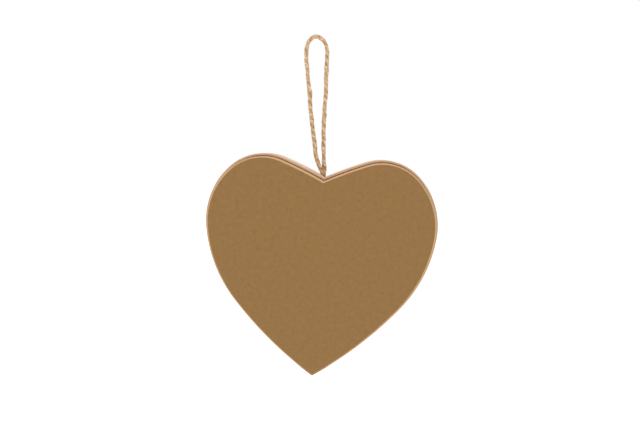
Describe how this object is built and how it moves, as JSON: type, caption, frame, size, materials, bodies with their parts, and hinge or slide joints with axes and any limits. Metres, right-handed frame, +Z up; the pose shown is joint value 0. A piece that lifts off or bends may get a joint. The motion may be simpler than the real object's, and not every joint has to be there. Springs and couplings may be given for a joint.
{
  "type": "wind up music box",
  "caption": "Heart-shaped kraft card music box with a twine hanging loop, a lift-off lid, a key-wound cylinder and comb movement inside and a wing key on the back.",
  "frame": {"origin": "inner top of the twine hanging loop, where it sits on a hook", "axes": "+Z up along the heart's middle plane, -Y out of the lid's front face, +X to the right seen from the front"},
  "size_m": [0.123, 0.0525, 0.182],
  "materials": {
    "greyboard": "pressed pulp board, uncoated, faint fibres",
    "kraft_paper": "unbleached brown kraft paper, matt, fine fibre specks",
    "jute_twine": "two-ply twisted jute, hairy, natural",
    "zinc": "zinc die casting, as cast, satin",
    "steel": "nickel-plated steel, satin",
    "blued_steel": "blued spring steel",
    "brass": "turned and stamped brass, satin",
    "key_brass": "brass-plated key, polished, light wear",
    "nylon": "moulded natural nylon"
  },
  "bodies": {
    "hanger": {"twine_loop": "jute_twine"},
    "case": {"twine_knot": "jute_twine", "base_wall": "greyboard", "wall_paper": "kraft_paper", "inner_collar": "greyboard", "back_board": "greyboard", "back_paper": "kraft_paper", "bedplate": "zinc", "plate_screws": "steel", "plate_washers": "steel", "cylinder_bearings": "steel", "bearing_screws": "steel", "comb": "steel", "comb_screws": "steel", "governor_frame": "steel", "governor_screws": "steel", "end_cap": "brass", "clutch_spring": "blued_steel"},
    "lid": {"lid_board": "greyboard", "face_paper": "kraft_paper", "lid_wall": "greyboard", "lid_paper": "kraft_paper"},
    "key": {"winding_arbor": "steel", "winding_key": "key_brass"},
    "barrel": {"spring_barrel": "brass", "barrel_cover": "brass", "great_wheel": "brass", "mainspring": "blued_steel"},
    "cylinder": {"tune_cylinder": "brass", "cylinder_pins": "steel", "cylinder_arbor": "steel", "cylinder_pinion": "brass", "cylinder_gear": "brass"},
    "governor": {"governor_arbor": "steel", "governor_pinion": "brass", "governor_wheel": "brass"},
    "fan": {"worm": "steel", "air_brake": "nylon"}
  },
  "joints": [
    {"name": "swing", "type": "hinge", "parent": "hanger", "child": "case", "pos_m": [0.0086, 0, -0.0729], "axis": [1, 0, 0], "range_deg": [-35, 35]},
    {"name": "lid_pull", "type": "slide", "parent": "case", "child": "lid", "axis": [0, -1, 0], "range_m": [0, 0.06]},
    {"name": "key_wind", "type": "hinge", "parent": "case", "child": "key", "pos_m": [-0.004, 0.0064, -0.1179], "axis": [0, -1, 0], "range_deg": [0, 1890]},
    {"name": "barrel_spin", "type": "hinge", "parent": "case", "child": "barrel", "pos_m": [-0.004, 0.0004, -0.1179], "axis": [0, -1, 0], "continuous": true},
    {"name": "cylinder_spin", "type": "hinge", "parent": "case", "child": "cylinder", "pos_m": [0.0105, -0.0034, -0.1179], "axis": [1, 0, 0], "continuous": true},
    {"name": "governor_spin", "type": "hinge", "parent": "case", "child": "governor", "pos_m": [0.0305, -0.0008, -0.10922], "axis": [1, 0, 0], "continuous": true},
    {"name": "fan_spin", "type": "hinge", "parent": "case", "child": "fan", "pos_m": [0.0326, -0.0036, -0.10322], "axis": [0, -1, 0], "continuous": true}
  ],
  "couplings": [
    {"joint": "cylinder_spin", "follows": "barrel_spin", "ratio": 3},
    {"joint": "governor_spin", "follows": "barrel_spin", "ratio": -15},
    {"joint": "fan_spin", "follows": "barrel_spin", "ratio": 450}
  ]
}
